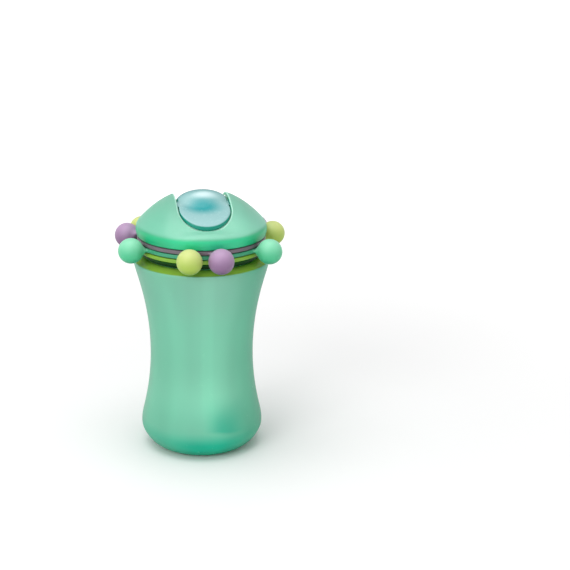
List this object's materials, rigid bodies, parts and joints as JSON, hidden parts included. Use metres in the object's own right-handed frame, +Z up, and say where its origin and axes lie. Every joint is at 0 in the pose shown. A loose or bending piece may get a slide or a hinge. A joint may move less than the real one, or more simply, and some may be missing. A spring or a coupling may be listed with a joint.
{
  "type": "sippy cup",
  "caption": "Toddler straw cup with an hourglass body, screw-on domed lid, sliding spout cover, folding straw spout and turning rings of teething beads.",
  "frame": {"origin": "centre of the cup's flat base, on the table", "axes": "+Z up along the cup's axis; the drinking side, where the spout lies and where the slide closes, is -Y"},
  "size_m": [0.1043, 0.1079, 0.1606],
  "materials": {
    "cup_body": "translucent mint, glossy",
    "lid_seal": "milky silicone",
    "lid_base": "translucent mint",
    "lid_cover": "translucent mint, satin gloss",
    "spout_slider": "translucent pale aqua, glossy",
    "bead_ring_top": "soft lilac, satin",
    "bead_ring_middle": "soft mint, satin",
    "bead_ring_bottom": "soft lime, satin",
    "spout_grommet": "milky silicone",
    "straw_spout": "milky silicone",
    "straw_tube": "milky flexible tube",
    "vent_valve": "milky silicone"
  },
  "bodies": {
    "cup": {"cup_body": "cup_body"},
    "washer": {"lid_seal": "lid_seal"},
    "lid": {"lid_base": "lid_base", "lid_cover": "lid_cover", "spout_grommet": "spout_grommet", "straw_tube": "straw_tube", "vent_valve": "vent_valve"},
    "slider": {"spout_slider": "spout_slider"},
    "spout": {"straw_spout": "straw_spout"},
    "ring_bottom": {"bead_ring_bottom": "bead_ring_bottom"},
    "ring_middle": {"bead_ring_middle": "bead_ring_middle"},
    "ring_top": {"bead_ring_top": "bead_ring_top"}
  },
  "joints": [
    {"name": "lid_lift", "type": "slide", "parent": "cup", "child": "washer", "axis": [0, 0, 1], "range_m": [0, 0.01]},
    {"name": "lid_turn", "type": "hinge", "parent": "washer", "child": "lid", "pos_m": [0, 0, 0.12], "axis": [0, 0, 1], "range_deg": [0, 450]},
    {"name": "cover_slide", "type": "hinge", "parent": "lid", "child": "slider", "pos_m": [0, 0.0015, 0.0999], "axis": [-1, 0, 0], "range_deg": [0, 40]},
    {"name": "spout_fold", "type": "hinge", "parent": "lid", "child": "spout", "pos_m": [0, -0.003, 0.1388], "axis": [-1, 0, 0], "range_deg": [0, 60]},
    {"name": "ring_bottom_turn", "type": "hinge", "parent": "lid", "child": "ring_bottom", "pos_m": [0, 0, 0.1289], "axis": [0, 0, 1], "continuous": true},
    {"name": "ring_middle_turn", "type": "hinge", "parent": "ring_bottom", "child": "ring_middle", "pos_m": [0, 0, 0.1289], "axis": [0, 0, 1], "range_deg": [-12, 33]},
    {"name": "ring_top_turn", "type": "hinge", "parent": "ring_bottom", "child": "ring_top", "pos_m": [0, 0, 0.1289], "axis": [0, 0, 1], "range_deg": [-3, 12]}
  ],
  "couplings": [
    {"joint": "lid_lift", "follows": "lid_turn", "m_per_rad": 0.0012732},
    {"joint": "spout_fold", "follows": "cover_slide", "ratio": 1.5}
  ]
}
